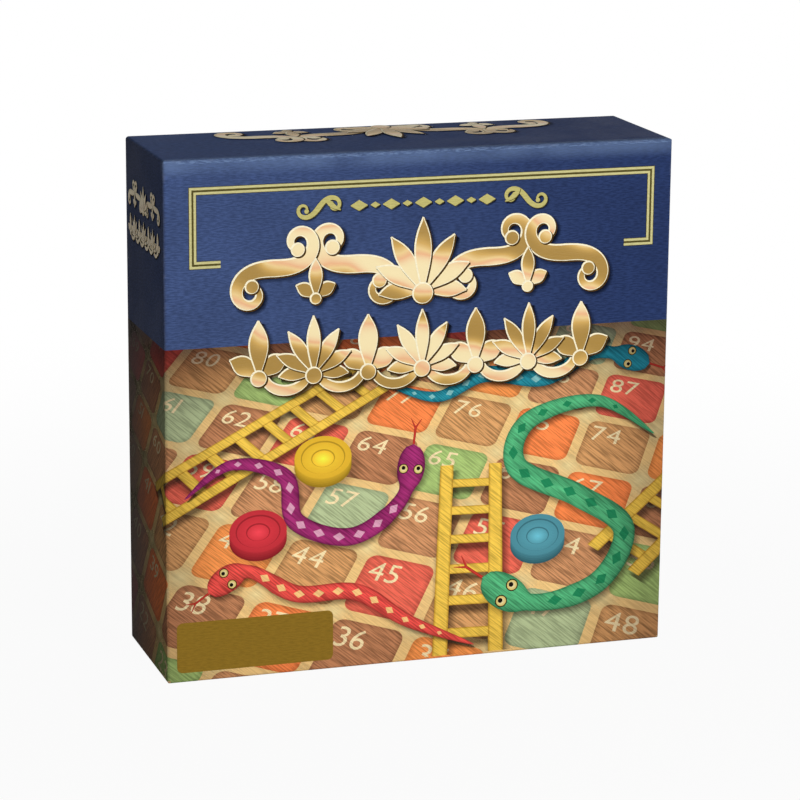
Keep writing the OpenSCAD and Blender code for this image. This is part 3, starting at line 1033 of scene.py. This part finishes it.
def upper_row():
    """Lozenges between two scrolls with leaves, in the border's inks."""
    row = Ornament((0, 240.5), 0.4, dark=BORDER_DARK, pale=BORDER_OLIVE)
    for flip in (-1, 1):
        row.level = 0
        scroll(row, (flip * 136, 0), 56, -0.9, 6.5, flip, 1)
        leaf(row, (flip * 108, -4), math.pi / 2 - flip * 1.2, 26, 6, flip * 0.6)
    for k in range(-4, 5):
        row.level = 0
        lozenge(row, (k * 21, 0), 11 if k % 2 == 0 else 6)
    return row


def two_tiers(origin, scale, high, low):
    ornament = Ornament(origin, scale)
    scroll_tier(ornament, high)
    frieze_tier(ornament, low)
    return ornament


def dress_ornament():
    """Ornament, border and bare plate on the panel, and ornament on three walls."""
    line, gold = line_print(), gold_print()
    two_tiers((0, 0), 1.0, 212, 166).lay("crest", lay_on_lid, line, gold)
    upper_row().lay("upper_row", lay_on_lid, line, line)
    for name, side in (("left_wall", -1), ("right_wall", 1)):
        middle = (side * wall(HALF_W, LID_DEPTH / 2), 232)
        two_tiers(middle, 0.34, 26, -26).lay(name, lay_on_lid, line, gold)
    upper = Ornament((0, MIDDLE + wall(HALF_H, 56 * MM)), 0.9, -1)
    scroll_tier(upper, 0)
    upper.lay("upper_wall", lay_on_end, line, gold, 1)
    border = Print()
    bracket(border, GOLD_LAYER)
    border.patch(rounded_box(*PLATE), ink(PLATE_BROWN), GOLD_LAYER)
    lay_on_lid(border, "lid_border_and_plate", line)


# The folding board

REAR_LOW, REAR_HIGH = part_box("rear_face")
_, FRONT_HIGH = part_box("front_face")
TAPE_LOW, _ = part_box("rear_hinge_tape")
SQUARES = 10
# Bare margins of the board's print, in millimetres
BOARD_MARGIN = 7.0
TAPE_MARGIN = 0.8
GRID_IN = -TAPE_LOW.x / MM + TAPE_MARGIN
GRID_OUT = -REAR_LOW.x / MM - BOARD_MARGIN
GRID_LOW = REAR_LOW.z / MM + BOARD_MARGIN
GRID_HIGH = REAR_HIGH.z / MM - BOARD_MARGIN
COLUMN = (GRID_OUT - GRID_IN) / (SQUARES // 2)
ROW = (GRID_HIGH - GRID_LOW) / SQUARES
TILE_GAP = 0.8
BORDER_WIDE = 2.4
BORDER_RED = [ink("#6e2f25", 0.4)] * 2
# Skins and spots of the board's snakes
GREEN = ("#45ad6f", "#1f7a4f")
PURPLE = ("#8a2478", "#cf8fc0")
RED = ("#d9463f", "#f5bd76")
TEAL = ("#1d7d8f", "#7cc3c4")
# Squares that the ladders join, and squares along the snakes, from snout to tail
BOARD_LADDERS = ((4, 25), (13, 46), (33, 49), (42, 63), (50, 69), (62, 81), (74, 92))
BOARD_LADDER_WIDE = 11
BOARD_SNAKES = (
    ((99, 84, 76, 58, 41), GREEN), ((89, 72, 53, 48), PURPLE), ((66, 54, 45, 37, 24), RED),
    ((43, 39, 22, 17), TEAL), ((27, 14, 5), GREEN), ((94, 86, 75, 67, 55), TEAL))
BOARD_SNAKE_GIRTH = 6.0


def flat_at(depth, turned=1):
    """Placer of a flat print at a depth. It faces the back where turned is -1."""
    def place(u, v, lift):
        return Vector((turned * u, depth - turned * lift, v))

    return place


def square_place(column, row):
    """Lower left corner of a square of the open board."""
    half = SQUARES // 2
    left = -GRID_OUT + column * COLUMN if column < half else GRID_IN + (column - half) * COLUMN
    return left, GRID_LOW + row * ROW


def square_middle(value):
    """Middle of a numbered square."""
    row, along = divmod(value - 1, SQUARES)
    left, low = square_place(along if row % 2 == 0 else SQUARES - 1 - along, row)
    return left + COLUMN / 2, low + ROW / 2


def board_squares(tiles, numbers):
    wide, high = COLUMN - 2 * TILE_GAP, ROW - 2 * TILE_GAP
    from_corner, number_high = (6.4, -5.6), 4.6
    for column, row in product(range(SQUARES), repeat=2):
        left, low = square_place(column, row)
        colour = tile_colour(column, row)
        square_tile(tiles, left + TILE_GAP, low + TILE_GAP, wide, high, colour, TILE_LAYER)
        place = moved((left, low + ROW), from_corner)
        value = square_number(column, row)
        number(numbers, value, place, number_high, ink(NUMBER_INK, 0.3), NUMBER_LAYER)


def board_border(sheet):
    """Line around the squares, open at the hinge."""
    inset = BOARD_MARGIN / 2
    low, high = GRID_LOW - inset, GRID_HIGH + inset
    for side in (-1, 1):
        near, far = side * GRID_IN, side * (GRID_OUT + inset)
        path = [(near, low), (far, low), (far, high), (near, high)]
        sheet.stroke(path, BORDER_WIDE, BORDER_RED, TILE_LAYER)


def dress_board():
    """Print of the board's two leaves."""
    border, tiles, numbers, shades, motifs = (Print() for _ in range(5))
    board_border(border)
    board_squares(tiles, numbers)
    layer = MOTIF_LAYER
    for foot, top in BOARD_LADDERS:
        rungs = 5 if top - foot < 25 else 7
        ladder(motifs, shades, square_middle(foot), square_middle(top), BOARD_LADDER_WIDE, rungs, layer)
    layer += LADDER_LAYERS
    for squares, colours in BOARD_SNAKES:
        path = [square_middle(value) for value in reversed(squares)]
        snake(motifs, shades, path, BOARD_SNAKE_GIRTH, *colours, layer)
        layer += SNAKE_LAYERS
    board = board_print()
    prints = (
        ("border", border, board), ("squares", tiles, board), ("numbers", numbers, board),
        ("shadows", shades, SHADE), ("snakes_and_ladders", motifs, board))
    leaves = (("rear", flat_at(REAR_LOW.y), -1), ("front", flat_at(FRONT_HIGH.y, -1), 1))
    for leaf_name, place, side in leaves:
        at_hinge = [((side * GRID_IN, 0), (-side, 0))]
        for name, sheet, material in prints:
            sheet.lay(f"{leaf_name}_{name}", place, at_hinge, [], material, f"{leaf_name}_leaf")


# The leaflet

LEAFLET_LOW, LEAFLET_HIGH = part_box("rules_leaflet")
LEAFLET_MIDDLE = (LEAFLET_LOW.x + LEAFLET_HIGH.x) / 2 / MM
LEAFLET_INK = ink("#3a4673")
LEAFLET_TINT = ink("#d5d4cf")
# Squares of the diagram each way, their side, and its lower left corner
DIAGRAM_SQUARES = 5
DIAGRAM_SIDE = 12.0
DIAGRAM = (LEAFLET_MIDDLE - DIAGRAM_SQUARES * DIAGRAM_SIDE / 2, LEAFLET_LOW.z / MM + 34.0)
# The diagram's ladder and snake, in squares
DIAGRAM_LADDER = ((0.9, 0.1), (0.3, 2.8))
DIAGRAM_SNAKE = ((2.2, 0.1), (3.4, 1.0), (2.4, 2.0), (3.6, 3.2), (3.0, 4.1))


def leaflet_frame(sheet):
    for inset, thick in ((5.0, 1.0), (7.0, 0.4)):
        left, right = LEAFLET_LOW.x / MM + inset, LEAFLET_HIGH.x / MM - inset
        low, high = LEAFLET_LOW.z / MM + inset, LEAFLET_HIGH.z / MM - inset
        start = (LEAFLET_MIDDLE, low)
        path = [start, (right, low), (right, high), (left, high), (left, low), start]
        sheet.stroke(path, thick, [LEAFLET_INK] * 2, TILE_LAYER)


def diagram_place(point):
    """Place in the diagram, in squares from the middle of the first one."""
    return moved(moved(DIAGRAM, (0.5, 0.5), DIAGRAM_SIDE), point, DIAGRAM_SIDE)


def leaflet_squares(sheet):
    """Numbered squares of a small example of a board."""
    gap, corner = 0.4, 1.5
    from_corner, number_high = (3.2, -3.0), 2.6
    for column, row in product(range(DIAGRAM_SQUARES), repeat=2):
        left, low = moved(DIAGRAM, (column, row), DIAGRAM_SIDE)
        right, high = left + DIAGRAM_SIDE, low + DIAGRAM_SIDE
        colours = [LEAFLET_INK, LEAFLET_TINT]
        if (column + row) % 2:
            colours.reverse()
        outline = rounded_box(left + gap, low + gap, right - gap, high - gap, corner)
        sheet.patch(outline, colours[0], TILE_LAYER)
        value = square_number(column, row, DIAGRAM_SQUARES)
        place = moved((left, high), from_corner)
        number(sheet, value, place, number_high, colours[1], NUMBER_LAYER)


def dress_leaflet():
    """Frame, example and ornament on the leaflet's front."""
    sheet, shades = Print(), Print()
    leaflet_frame(sheet)
    leaflet_squares(sheet)
    ladder_wide, rungs, girth = 6.0, 6, 3.4
    ladder(sheet, shades, *map(diagram_place, DIAGRAM_LADDER), ladder_wide, rungs, MOTIF_LAYER)
    snake(sheet, shades, [diagram_place(knot) for knot in DIAGRAM_SNAKE], girth, *GREEN, MOTIF_LAYER)
    middle = (LEAFLET_MIDDLE, LEAFLET_HIGH.z / MM - 44.0)
    flourish = Ornament(middle, 0.36, dark=LEAFLET_INK, pale=LEAFLET_INK)
    scroll_tier(flourish, 0)
    inks = leaflet_print()
    prints = (("shadows", shades, SHADE), ("diagram", sheet, inks), ("ornament", flourish.gold, inks))
    for name, printing, material in prints:
        printing.lay(f"leaflet_{name}", flat_at(LEAFLET_LOW.y), [], [], material, "leaflet")


# Materials of the other pieces

def linen_paper(name, code):
    """Plain dark paper with the lid's emboss, painted lighter and darker with its relief as painted shading.
    """
    s, _, _, height = embossed(name)
    # Painted shading of the emboss: lighter on its raised dashes, darker in its hollows
    colour = s.mix(s.fit(height, 0.4, 0.8), shaded(ink(code), 0.8), shaded(ink(code), 1.2))
    return s.finish(colour, s.spread(s.noise(s.coords(), 40), 0.7, 0.78), 0.1)


def grey_board():
    """Raw recycled board with dark and pale fibres."""
    s = Shader("grey_board")
    place = s.coords()
    fibres = s.noise(place, 900, 4.0, 0.7)
    colour = s.ramp(fibres, [(0.3, "#6d675a"), (0.5, "#938c7c"), (0.72, "#b5ae9c")])
    colour = s.mix(s.spread(s.noise(place, 60), 0.0, 0.3), colour, ink("#857c68"))
    s.bump(fibres, 0.3, 0.1 * MM)
    return s.finish(colour, 0.85, 0.2)


def kraft_tape():
    """Gummed brown paper tape."""
    s = Shader("kraft_tape")
    fibres = s.noise(s.coords(), 700, 3.0)
    s.bump(fibres, 0.2, 0.05 * MM)
    return s.finish(s.ramp(fibres, [(0.3, "#8d6b41"), (0.7, "#b99262")]), 0.7, 0.25)


def hinge_cloth():
    """Woven cloth tape."""
    s = Shader("hinge_cloth")
    x, _, z = s.split(s.coords())
    warp, weft = (s.math("SINE", s.times(axis, 9000)) for axis in (x, z))
    weave = s.fit(s.times(warp, weft), -1.0, 1.0)
    s.bump(weave, 0.5, 0.1 * MM)
    return s.finish(s.mix(weave, ink("#211a19"), ink("#40342f")), 0.8, 0.2)


def formed_plastic():
    """Thin cream sheet, drawn over a mould."""
    s = Shader("formed_plastic")
    place = s.coords()
    cloud = s.noise(place, 25, 3.0)
    colour = s.mix(s.spread(cloud), ink("#e8e1cd"), ink("#ede6d4"))
    s.bump(s.noise(place, 1500), 0.15, 0.05 * MM)
    s.set("Subsurface Weight", 0.08)
    s.set("Subsurface Radius", (0.002, 0.0015, 0.001))
    return s.finish(colour, s.spread(cloud, 0.44, 0.48), 0.35)


def moulded_skin(s, place):
    s.bump(s.noise(place, 900), 0.06, 0.05 * MM)


def moulded_plastic(name, code):
    """Glossy moulded plastic with faint flow marks and rubbed spots."""
    s = Shader(name)
    place = s.coords()
    flow = s.noise(place, 220, 3.0)
    colour = s.mix(s.spread(flow), shaded(ink(code), 0.86), shaded(ink(code), 1.12))
    moulded_skin(s, place)
    return s.finish(colour, s.fit(s.noise(place, 500, 4.0, 0.7), 0.4, 0.8, 0.16, 0.36))


def rough_paper(name):
    """Shader of the leaflet's uncoated paper, and its fibres."""
    s = Shader(name)
    fibres = s.noise(s.coords(), 1400, 3.0)
    s.bump(fibres, 0.15, 0.05 * MM)
    return s, fibres


def leaflet_paper():
    s, fibres = rough_paper("leaflet_paper")
    colour = s.mix(s.spread(fibres), ink("#eae4d5"), ink("#f3eee2"))
    return s.finish(colour, s.spread(fibres, 0.65, 0.8), 0.2)


def leaflet_print():
    s, fibres = rough_paper("leaflet_print")
    return s.finish(s.toned(s.attribute("ink")["Color"], s.spread(fibres, 1.12, 0.94)), 0.75, 0.2)


def board_sheet(name):
    """Shader of the board's embossed face, and its grain."""
    s = Shader(name)
    x, _, z = s.split(s.coords())
    s.bump(emboss(s, x, z), 0.3, PRESS_DEPTH)
    return s, grain_lines(s, x, z, 0.0)


def board_ground():
    s, lines = board_sheet("board_ground")
    return s.finish(s.mix(0.5, ink(GROUT), s.toned(ink(GROUT), lines)), 0.42, 0.35)


def board_print():
    s, lines = board_sheet("board_print")
    inks = s.attribute("ink")
    return s.finish(s.toned(inks["Color"], s.between(inks["Alpha"], 1.0, lines)), 0.42, 0.3)


def die_plastic():
    """Tumbled white plastic, black in the drilled pips."""
    low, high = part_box("die")
    middle, half = (low + high) / 2, (high.x - low.x) / 2
    s = Shader("die_plastic")
    place = s.node("ShaderNodeVectorMath", {0: s.coords(), 1: middle}, operation="SUBTRACT")[0]
    x, y, z = (s.math("ABSOLUTE", axis) for axis in s.split(place))
    under_face = s.math("LESS_THAN", s.most(x, s.most(y, z)), half - 0.04 * MM)
    inside_corner = s.math("LESS_THAN", s.length(place), 1.38 * half)
    cloud = s.noise(place, 300, 3.0)
    white = s.mix(s.spread(cloud), ink("#e6e0d0"), ink("#f3efe4"))
    moulded_skin(s, place)
    colour = s.mix(s.times(under_face, inside_corner), white, ink("#17161a"))
    return s.finish(colour, s.spread(cloud, 0.2, 0.35))


PAWNS = (("red", "#b3262a"), ("yellow", "#dba51c"), ("blue", "#1f7f9c"), ("green", "#2f7f3d"))


def dress_nodes():
    """Gives each CAD piece its material."""
    dressed = (
        (grey_board(), ("lid_blank", "base_blank", "rear_core", "front_core")),
        (kraft_tape(), ("lid_corner_stays", "base_corner_stays")),
        (hinge_cloth(), ("rear_hinge_tape", "front_hinge_tape")),
        (board_ground(), ("rear_face", "front_face")),
        (linen_paper("back_paper", BASE_NAVY), ("rear_back", "front_back")),
        (lid_paper(), ("lid_wrap",)),
        (linen_paper("base_paper", BASE_NAVY), ("base_wrap",)),
        (formed_plastic(), ("insert_tray",)),
        (die_plastic(), ("die",)),
        (leaflet_paper(), ("rules_leaflet",)),
        *((moulded_plastic(f"{name}_plastic", code), (f"pawn_{name}",)) for name, code in PAWNS))
    for material, names in dressed:
        for name in names:
            slots = frame["nodes"][name].data.materials
            slots.clear()
            slots.append(material)


# Stage

# Light of the surroundings, as a share of the white that the camera sees
AMBIENT = 0.12
# Lamps: name, place, size in metres and power in watts
LAMPS = (("key", (0.55, -2.5, 0.75), 1.1, 58), ("fill", (1.7, 2.0, 0.5), 1.4, 25))


def floor():
    """Ground that is white to the camera away from the part and keeps a faint shadow near it."""
    reach, grey, white_at_part, fade = 1.6, (0.4, 0.4, 0.4, 1), 0.95, (0.15, 0.8)
    corners = [(x * reach, y * reach, 0) for x, y in ((-1, -1), (1, -1), (1, 1), (-1, 1))]
    mesh = bpy.data.meshes.new("floor")
    mesh.from_pydata(corners, [], [(0, 1, 2, 3)])
    s = Shader("floor")
    s.finish(grey, 0.9, 0.0)
    glow = s.node("ShaderNodeEmission", {"Color": WHITE, "Strength": 1.0})
    share = s.times(s.seen(), s.fit(s.length(s.coords()), *fade, white_at_part, 1.0))
    blend = s.node("ShaderNodeMixShader", {0: share, 1: s.surface.outputs[0], 2: glow[0]})
    s.put(s.tree.nodes["Material Output"].inputs["Surface"], blend[0])
    mesh.materials.append(s.material)
    obj = new_object("floor", mesh)


def world():
    """White surroundings that light the part only faintly."""
    made = bpy.data.worlds.new("studio")
    bpy.context.scene.world = made
    made.use_nodes = True
    made.node_tree.nodes.clear()
    n = Nodes(made.node_tree)
    strength = n.between(n.seen(), AMBIENT, 1.0)
    background = n.node("ShaderNodeBackground", {"Color": WHITE, "Strength": strength})
    n.node("ShaderNodeOutputWorld", {"Surface": background[0]})


def lamp(name, place, size, power):
    """Round lamp that faces the middle of the lid."""
    light = bpy.data.lights.new(name, "AREA")
    light.shape = "DISK"
    light.size = size
    light.energy = power
    obj = new_object(name, light)
    obj.location = place
    obj.rotation_euler = (Vector((0, 0, MID_Z)) - Vector(place)).to_track_quat("-Z", "Y").to_euler()


# Camera, from the corners of the box in the photograph

AZIMUTH = math.radians(-17.89)
ELEVATION = math.radians(13.87)
ROLL = math.radians(0.46)
DISTANCE = 1.6507
ASIDE = -0.00132
RISE = 0.00406
FOCAL_PIXELS = 3181.6
IMAGE_PIXELS = 800
SENSOR = 36.0


def camera():
    """Camera that sees the box as the photograph does."""
    data = bpy.data.cameras.new("camera")
    data.sensor_width = SENSOR
    data.lens = FOCAL_PIXELS * SENSOR / IMAGE_PIXELS
    data.clip_start = 0.01
    tilt = Matrix.Rotation(math.pi / 2 - ELEVATION, 4, "X")
    turn = Matrix.Rotation(AZIMUTH, 4, "Z") @ tilt @ Matrix.Rotation(ROLL, 4, "Z")
    obj = new_object("camera", data)
    away = Matrix.Translation((-ASIDE, -RISE, DISTANCE))
    obj.matrix_world = Matrix.Translation((0, 0, MID_Z)) @ turn @ away
    bpy.context.scene.camera = obj


camera()
dress_nodes()
dress_picture()
dress_ornament()
dress_board()
dress_leaflet()
floor()
world()
for values in LAMPS:
    lamp(*values)
bpy.context.scene.view_settings.view_transform = "Standard"
